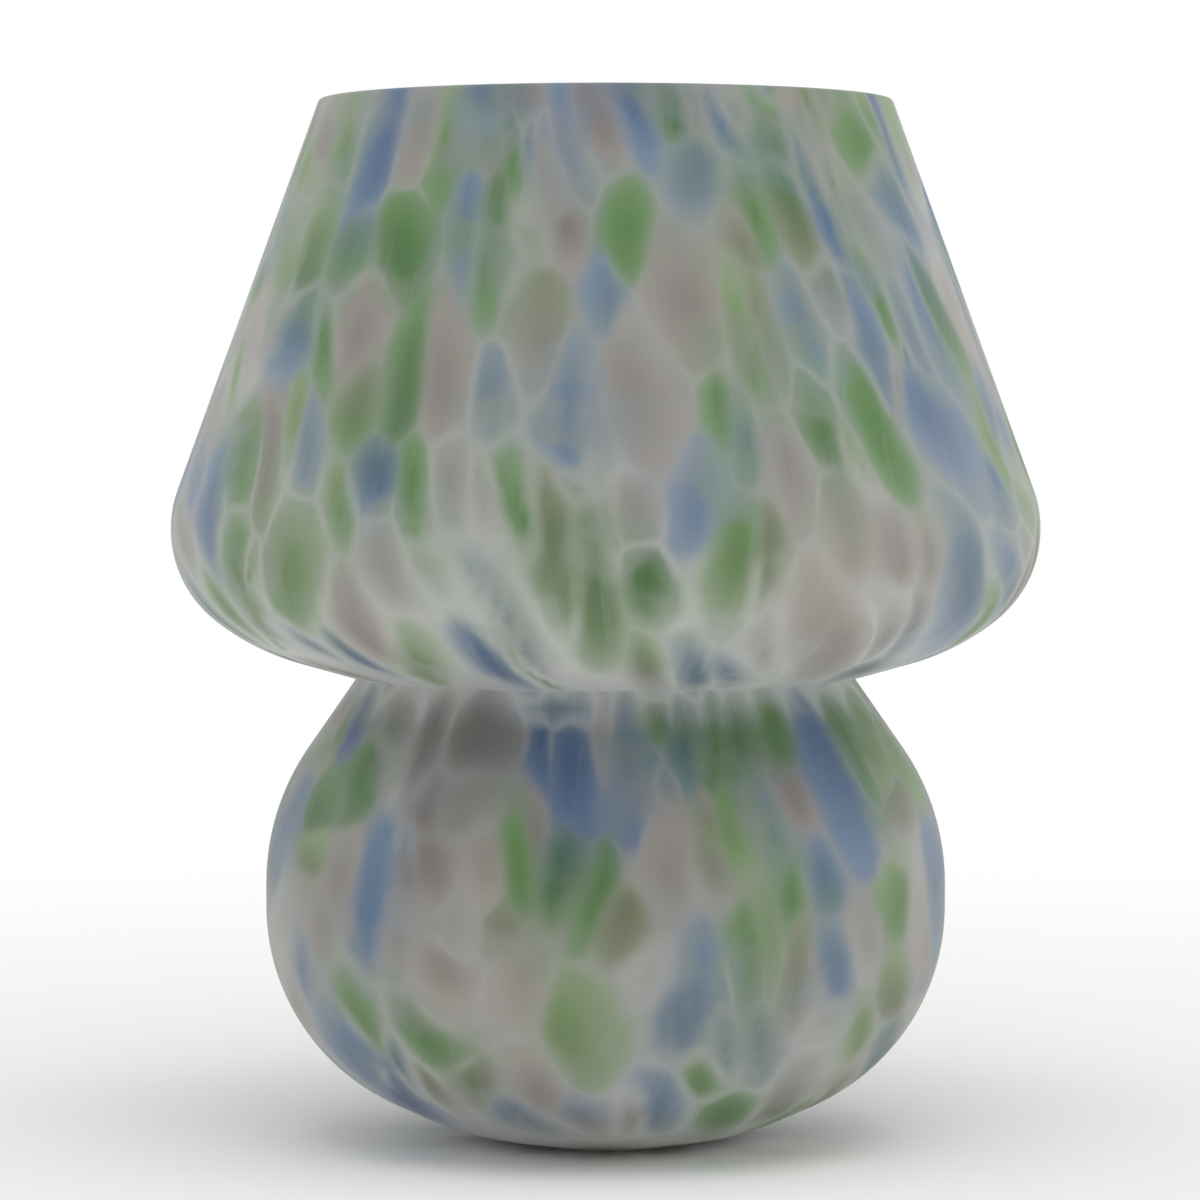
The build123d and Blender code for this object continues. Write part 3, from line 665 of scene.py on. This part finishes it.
def on_wall(across, down):
    """Where a pixel of the photograph meets the wall: angle, run down it, and degrees a pixel."""
    drop = radians(CAMERA_DROP)
    right, up = (across - PHOTO_WIDTH / 2) / PHOTO_FOCUS, (PHOTO_WIDTH / 2 - down) / PHOTO_FOCUS
    ray = complex(right, cos(drop) + up * sin(drop))
    fall = up * cos(drop) - sin(drop)
    eye = complex(CAMERA_ASIDE, -CAMERA_DISTANCE) / MM
    reached = CAMERA_DISTANCE / MM
    for _ in range(WALL_SEARCHES):
        height = CAMERA_HEIGHT / MM - FOOT + reached * fall
        radius = np.interp(-height, -OUTSIDE.imag[:UNDERSIDE], OUTSIDE.real[:UNDERSIDE])
        nearest = -(eye * ray.conjugate()).real / abs(ray) ** 2
        aside = abs(eye + nearest * ray)
        depth = max(radius ** 2 - aside ** 2, (radius * EDGE_ON) ** 2) ** 0.5 / abs(ray)
        reached = (reached + nearest - depth) / 2
    angle = degrees(phase((eye + reached * ray) * 1j))
    run = np.interp(-height, -OUTSIDE.imag[:UNDERSIDE], RUNS[:UNDERSIDE])
    return angle, run, degrees(reached / (PHOTO_FOCUS * radius * max(depth / radius, EDGE_ON)))


def placed_chips():
    """Every chip: angle, run down the wall, half width, half length, lean, upper and lower tone."""
    rng = np.random.default_rng(SEED)
    chips = []
    for across, down, low_across, low_down, width, upper, lower in FRONT_CHIPS:
        (angle, run, scale), (low_angle, low_run, low_scale) = (
            on_wall(across, down), on_wall(low_across, low_down))
        half_width = min(width * CHIP_SPREAD * (scale + low_scale) / 4, WIDEST)
        lean = np.clip((low_angle - angle) / (low_run - run), -MOST_LEAN, MOST_LEAN)
        chips.append(((angle + low_angle) / 2, (run + low_run) / 2, half_width,
                      (low_run - run) / 2, lean, TONES[upper], TONES[lower]))
    names, shares = list(LOOSE_SHARES), np.array(list(LOOSE_SHARES.values()), float)
    needed = [FRONT_ROOM if abs(chip[0]) < FRONT_REACH else 1.0 for chip in chips]
    for _ in range(STREWN_TRIES):
        angle, run = rng.uniform(-180, 180), rng.uniform(0, RUNS[-1])
        radius = max(np.interp(run, RUNS, OUTSIDE.real), STREWN_HALF_WIDTH)
        half_width = degrees(STREWN_HALF_WIDTH / radius) * rng.uniform(*WIDTH_SPREAD)
        half_length = STREWN_HALF_LENGTH * rng.uniform(*LENGTH_SPREAD)
        angles, runs, widths, lengths = np.array([c[:4] for c in chips]).T
        room = np.hypot(wrapped(angles - angle) / (widths + half_width),
                        (runs - run) / (lengths + half_length))
        if (room > needed).all():
            needed.append(STREWN_ROOM)
            upper, lower = rng.choice(names, 2, p=shares / shares.sum())
            chips.append((angle, run, half_width, half_length, LEAN, TONES[upper], TONES[lower]))
    return chips


def stirred(angles, runs):
    """Places pushed about a little, so that no chip keeps a drawn outline."""
    rng = np.random.default_rng(SEED + 1)
    turns, push = np.zeros_like(angles), np.zeros_like(runs)
    for _ in range(STIR_WAVES):
        crests, wave, start = (rng.integers(*STIR_CRESTS), rng.uniform(-1, 1),
                               rng.uniform(0, 2 * pi, 2))
        swirl = np.radians(angles) * crests + runs * 2 * pi * wave / STIR_WAVE
        turns += STIR_TURN * np.sin(swirl + start[0])
        push += STIR_PUSH * np.sin(swirl + start[1])
    return angles + turns, runs + push


def reach(places, chips):
    """Places across and along each chip in its half sizes, and how many mm outside it they lie."""
    angles, runs = places
    angle, run, half_width, half_length, lean = (c.astype(np.float32) for c in chips)
    along = (runs[:, None] - run) / half_length
    across = wrapped(angles[:, None] - angle - lean * half_length * along) / half_width
    across = across * (1 + TIP_TAPER * np.minimum(along ** 2, 1))
    size = np.hypot(across, along) + EDGE_SOFTNESS
    radius = np.radians(np.interp(run, RUNS, OUTSIDE.real))
    slope = np.hypot(across / (half_width * radius), along / half_length) / size + EDGE_SOFTNESS
    return across, along, (size - 1) / slope


def layered(nearest, count):
    """A layer for each chip, such that no two chips that meet share one."""
    pairs = {tuple(sorted(p)) for i, j in ((0, 1), (0, 2), (1, 2))
             for p in np.unique(nearest[:, [i, j]], axis=0)}
    meets = [set() for _ in range(count)]
    for a, b in pairs:
        meets[a].add(b)
        meets[b].add(a)
    layer = [None] * count
    for chip in sorted(range(count), key=lambda c: (-len(meets[c]), c)):
        taken = {layer[other] for other in meets[chip]}
        layer[chip] = next(k for k in range(count) if k not in taken)
    return np.array(layer)


def tint(mesh):
    """Writes the chips on the wall's mesh, and returns the names of their layers.

    Each layer is a colour attribute: red, green and blue of its nearest chip, and as alpha how
    many mm away that chip's edge is. The finish draws the veins where two layers tie.
    """
    points = np.empty(len(mesh.vertices) * 3)
    mesh.vertices.foreach_get("co", points)
    x, y, z = points.reshape(-1, 3).T / MM
    profile, where = np.unique(np.round(np.hypot(x, y) + 1j * (z - FOOT), SAME_PLACE),
                               return_inverse=True)
    down = RUNS[[np.argmin(abs(OUTSIDE - p)) for p in profile]][where.ravel()]
    angles, runs = stirred(np.degrees(np.arctan2(x, -y)), down)

    # Milky glass by height, with its painted light and shade.
    heights, tones, fades = zip(*reversed(MILK_AND_PAINTED_LIGHT))
    milk_and_painted_light = np.array([np.interp(z - FOOT, heights, channel) for channel in zip(*map(rgb, tones))]).T
    fade = np.interp(z - FOOT, heights, fades)
    write(mesh, "milk_and_painted_light", "FLOAT_COLOR", np.column_stack([milk_and_painted_light, fade]))
    turn = np.radians(angles)
    write(mesh, "grain", "FLOAT_VECTOR", np.column_stack(
        [GRAIN_RADIUS * np.sin(turn), GRAIN_RADIUS * np.cos(turn), GRAIN_STRETCH * runs]) * MM)

    chips = placed_chips()
    shapes = np.array([c[:5] for c in chips]).T
    upper, lower = (np.array([rgb(c[k]) for c in chips]) for k in (5, 6))
    offset = np.random.default_rng(SEED + 2).uniform(-CORE_SHIFT, CORE_SHIFT, (2, len(chips)))
    blocks = [slice(i, i + BLOCK) for i in range(0, len(x), BLOCK)]
    nearest = np.empty((len(x), 3), int)
    for block in blocks:
        far = reach((angles[block], runs[block]), shapes)[2]
        nearest[block] = np.argpartition(far, 3, axis=1)[:, :3]
    layer = layered(nearest, len(chips))

    names = []
    for k in range(layer.max() + 1):
        own = np.flatnonzero(layer == k)
        values = np.empty((len(x), 4))
        for block in blocks:
            reached = reach((angles[block], runs[block]), shapes[:, own])
            pick = reached[2].argmin(axis=1)
            across, along, far = (value[np.arange(len(pick)), pick] for value in reached)
            chip = own[pick]
            blend = np.clip(0.5 + TONE_BLEND * along, 0, 1)[:, None]
            colour = upper[chip] * (1 - blend) + lower[chip] * blend
            core = np.hypot(across - offset[0, chip], along - offset[1, chip])
            outer = np.clip((core - FADE_START) / FADE_RANGE, 0, 1) ** FADE_POWER
            faded = (fade[block] * outer)[:, None]
            depth = np.interp(core, (0, CORE_REACH), CORE_SHADES)[:, None]
            values[block, :3] = colour * depth * (1 - faded) + milk_and_painted_light[block] * faded
            values[block, 3] = far
        names.append(f"chips_{k}")
        write(mesh, names[-1], "FLOAT_COLOR", values)
    return names


def write(mesh, name, kind, values):
    """Gives a mesh an attribute with a value at each point."""
    attribute = mesh.attributes.new(name, kind, "POINT")
    attribute.data.foreach_set("color" if kind == "FLOAT_COLOR" else "vector",
                               values.astype(np.float32).ravel())


def glass_finish(layers):
    """Acid-matt glass: chips of colour that fade into milky veins."""
    f = Finish("confetti_glass", specular_ior_level=0.35, sheen_weight=0.12, sheen_roughness=0.6)
    grain = f.node("ShaderNodeAttribute", {"attribute_name": "grain"}, out="Vector")
    # The milky glass by height, painted light and shade included.
    milk_and_painted_light = f.node("ShaderNodeAttribute", {"attribute_name": "milk_and_painted_light"}, out="Color")
    far, colours = [], []
    for name in layers:
        chip = f.node("ShaderNodeAttribute", {"attribute_name": name}, out="Color")
        colours.append(chip)
        far.append(Wire(f, chip.socket.node.outputs["Alpha"]))
    least, second = far[0].least(far[1]), far[0].most(far[1])
    for other in far[2:]:
        second = second.least(least.most(other))
        least = least.least(other)
    sharp = f.varied(*MEETING)
    colour, total = colours[0], None
    for distance, tone in zip(far, colours):
        weight = ((least - distance) * sharp).exp()
        total = weight if total is None else total + weight
        colour = tone if tone is colours[0] else f.mix(weight / total, colour, tone)
    apart = second - least         # twice the way to the line where two chips meet
    wide, patchy = f.varied(*VEIN_WIDTH), f.varied(*VEIN_PATCHES)
    bright = f.node("ShaderNodeVectorMath", {"operation": "SCALE"},
                    {0: milk_and_painted_light, "Scale": VEIN_LIGHT}, out="Vector")
    colour = f.mix(apart.rise(0, HALO_WIDTH, HALO, 0), colour, milk_and_painted_light)
    colour = f.mix(least.rise(*GAP_DEPTH) * GAP, colour, milk_and_painted_light)
    colour = f.mix(apart.rise(0, wide, VEIN, 0) * patchy, colour, bright)
    streaks = f.varied(*STREAKS, vector=grain) * STREAK
    clouds = f.varied(*CLOUDS) * CLOUD
    colour = f.mix(clouds + streaks, colour, milk_and_painted_light)
    matt = f.varied(*MATTNESS)
    bumps = f.noise(*ETCHED) + f.noise(*WAVY) * WAVE_HEIGHT
    f.put({"Base Color": colour, "Roughness": matt,
           "Normal": f.bump(bumps, ETCH_STRENGTH, ETCH_DEPTH)})
    return f


def glass_wall():
    """The one-piece wall of shade, neck and base."""
    line = line_object("glass_section", section())
    axis = Vector(CABLE_MOUNT["axis"])
    wall = wall_recipe().make(
        "glass_wall", section=line, columns=COLUMNS, hole_radius=CABLE_HOLE,
        hole_depth=DRILL_LENGTH, hole_place=Vector(CABLE_MOUNT["pos_m"]),
        hole_turn=axis.to_track_quat("Z", "Y").to_euler())
    bpy.data.objects.remove(line)
    finish = glass_finish(tint(outward(wall).data))
    wall.data.materials.clear()
    wall.data.materials.append(finish.material)
    return wall


# ==== the fittings inside =======================================================================
TONE_STEP, DULL_STEP = (0.3, 0.7), (0.25, 0.75)    # of a finish's cloudy noise


def fitting_finish(name, tone, roughness, clouds, dark, dull, grain, marks, depth, **constants):
    """One tone, slightly clouded and unevenly dull, with a grain of fine bumps."""
    f = Finish(name, **constants)
    cloud = f.noise(*clouds)
    f.put({"Base Color": f.mix(cloud.rise(*TONE_STEP), [c * dark for c in rgb(tone)], rgb(tone)),
           "Roughness": cloud.rise(*DULL_STEP, roughness * dull[0], roughness * dull[1]),
           "Normal": f.bump(f.noise(*grain), marks, depth)})
    return f


def metal_finish(name, tone, roughness):
    """Plated or bare metal with fine turning marks and a slightly uneven shine."""
    return fitting_finish(name, tone, roughness, clouds=(180, 4, 0.6), dark=0.8, dull=(0.8, 1.3),
                          grain=(900, 3, 0.6), marks=0.1, depth=0.05 * MM, metallic=1.0)


def moulded_finish(name, tone, roughness, scale, marks):
    """Plastic, paint, rubber or ceramic, with a grain of scale features a metre."""
    return fitting_finish(name, tone, roughness, clouds=(90, 3), dark=0.94, dull=(0.9, 1.12),
                          grain=(scale, 2, 0.6), marks=marks, depth=0.06 * MM,
                          specular_ior_level=0.45)


FINISHES = {
    "clear_silicone": moulded_finish("milky_silicone", (205, 206, 204), 0.42, 700, 0.05),
    "white_rubber": moulded_finish("soft_white_rubber", (214, 212, 206), 0.7, 1600, 0.25),
    "zinc_steel": metal_finish("bright_zinc", (196, 199, 202), 0.3),
    "white_paint": moulded_finish("satin_powder_coat", (226, 224, 219), 0.4, 1100, 0.35),
    "white_plastic": moulded_finish("fine_matt_plastic", (229, 227, 221), 0.46, 2200, 0.2),
    "core_ceramic": moulded_finish("off_white_ceramic", (224, 220, 208), 0.28, 500, 0.08),
    "brass": metal_finish("bright_brass", (216, 182, 112), 0.24),
    "nickel": metal_finish("bright_nickel", (208, 206, 200), 0.2),
    "black_insulation": moulded_finish("black_vitreous", (26, 26, 29), 0.16, 400, 0.03),
    "opal": moulded_finish("opal_globe", (240, 239, 233), 0.34, 1400, 0.06),
}

SLOTS = {part["node"]: part["material_slot"] for part in frame["record"]["subparts"]}


def stand_in(piece, node, body):
    """Puts a piece in a node's place."""
    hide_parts(node)
    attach(piece, body)


def tube_corners(node, bore):
    """A plain tube's section, from the node's own box, and its radius."""
    low, high = (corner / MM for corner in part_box(node))
    return [complex(bore, low.z), complex(high.x, low.z), complex(high.x, high.z),
            complex(bore, high.z)], high.x


def shell_corners(node):
    """The section of a sheet with a lip turned in at the bottom, and the sheet's inner radius."""
    low, high = (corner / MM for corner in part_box(node))
    inner, lip_top = high.x - SHELL_SHEET, low.z + SHELL_SHEET
    return [complex(SHELL_LIP, low.z), complex(high.x, low.z), complex(high.x, high.z),
            complex(inner, high.z), complex(inner, lip_top), complex(SHELL_LIP, lip_top)], inner


def threaded(recipe, node, corners, full, pitch, depth, run_out):
    """A node's piece with its thread cut, in the finish of the node's slot."""
    low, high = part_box(node)
    points = [point - FOOT * 1j for a, b in zip(corners, corners[1:] + corners[:1])
              for point in spaced(a, b, pitch / THREAD_ROWS)]
    line = line_object(node + "_section", points)
    piece = recipe.make(
        node + "_thread", section=line, columns=THREAD_COLUMNS, pitch=pitch * MM,
        depth=depth * MM, bore_radius=corners[0].real * MM, full_radius=full * MM,
        run_out=run_out, bottom=low.z, top=high.z, finish=FINISHES[SLOTS[node]].material)
    bpy.data.objects.remove(line)
    return outward(piece)


stand_in(glass_wall(), "glass_body", "lamp")

cut = thread_recipe()
for node, body, bore, pitch, depth in (
        ("lower_nipple", "lamp", TUBE_BORE, TUBE_PITCH, TUBE_THREAD),
        ("upper_nipple", "lamp", TUBE_BORE, TUBE_PITCH, TUBE_THREAD),
        ("bulb_cap", "bulb", BULB_CAP_BORE, BULB_PITCH, BULB_THREAD)):
    tube = threaded(cut, node, *tube_corners(node, bore), pitch, depth, AT_ROOT)
    stand_in(tube, node, body)
shell = threaded(cut, "screw_shell", *shell_corners("screw_shell"), BULB_PITCH, BULB_THREAD,
                 AT_CREST)
stand_in(shell, "screw_shell", "lamp")

for node, slot in SLOTS.items():
    if slot in FINISHES:
        for held in frame["nodes"][node].material_slots:
            held.material = FINISHES[slot].material


# ==== floor, light and camera ===================================================================
def floor():
    """A pale floor that fades out, far from the lamp, into the white behind it."""
    bpy.ops.mesh.primitive_circle_add(vertices=FLOOR_SIDES, radius=FLOOR_RADIUS,
                                      fill_type="NGON")
    disc = bpy.context.object
    disc.name = "floor"
    f = Finish("pale_floor", roughness=0.9, specular_ior_level=0.0,
               base_color=(*rgb(FLOOR_TONE), 1.0))
    away = f.node("ShaderNodeVectorMath", {"operation": "LENGTH"}, {0: f.place()}, out="Value")
    seen = f.node("ShaderNodeLightPath", out="Is Camera Ray")
    both = f.node("ShaderNodeMixShader", None,
                  {"Fac": away.rise(*FLOOR_FADE) * seen,
                   1: f.shader, 2: f.node("ShaderNodeBsdfTransparent")})
    f.tree.links.new(both.socket, f.output.inputs["Surface"])
    disc.data.materials.append(f.material)


def soft_lamp(name, place, aim, size, power):
    """A large square lamp that shines from place towards aim."""
    light = bpy.data.lights.new(name, "AREA")
    light.size, light.energy = size, power
    lamp = bpy.data.objects.new(name, light)
    bpy.context.scene.collection.objects.link(lamp)
    lamp.location = place
    lamp.rotation_euler = (Vector(aim) - Vector(place)).to_track_quat("-Z", "Y").to_euler()


def world():
    """White behind the lamp and in its gloss, and a little less than white as light."""
    sky = bpy.data.worlds.new("studio")
    sky.use_nodes = True
    g = Graph(sky.node_tree)
    g.tree.nodes.clear()
    rays = g.node("ShaderNodeLightPath").socket.node.outputs
    seen = Wire(g, rays["Is Camera Ray"]).most(Wire(g, rays["Is Glossy Ray"]))
    seen = seen.most(Wire(g, rays["Is Transmission Ray"]))
    light = g.node("ShaderNodeBackground", None,
                   {"Color": (1, 1, 1, 1), "Strength": seen.rise(0, 1, AMBIENT, 1.0)})
    g.node("ShaderNodeOutputWorld", None, {"Surface": light})
    bpy.context.scene.world = sky


def camera():
    """The photograph's view: level with the shade, looking slightly down."""
    data = bpy.data.cameras.new("camera")
    data.lens, data.sensor_width = CAMERA_LENS, SENSOR_WIDTH
    data.clip_start, data.clip_end = CAMERA_CLIP
    eye = bpy.data.objects.new("camera", data)
    bpy.context.scene.collection.objects.link(eye)
    eye.location = (CAMERA_ASIDE, -CAMERA_DISTANCE, CAMERA_HEIGHT)
    eye.rotation_euler = (radians(90 - CAMERA_DROP), 0, 0)
    bpy.context.scene.camera = eye


floor()
world()
for lamp in LAMPS:
    soft_lamp(*lamp)
camera()
bpy.context.scene.view_settings.view_transform = "Standard"
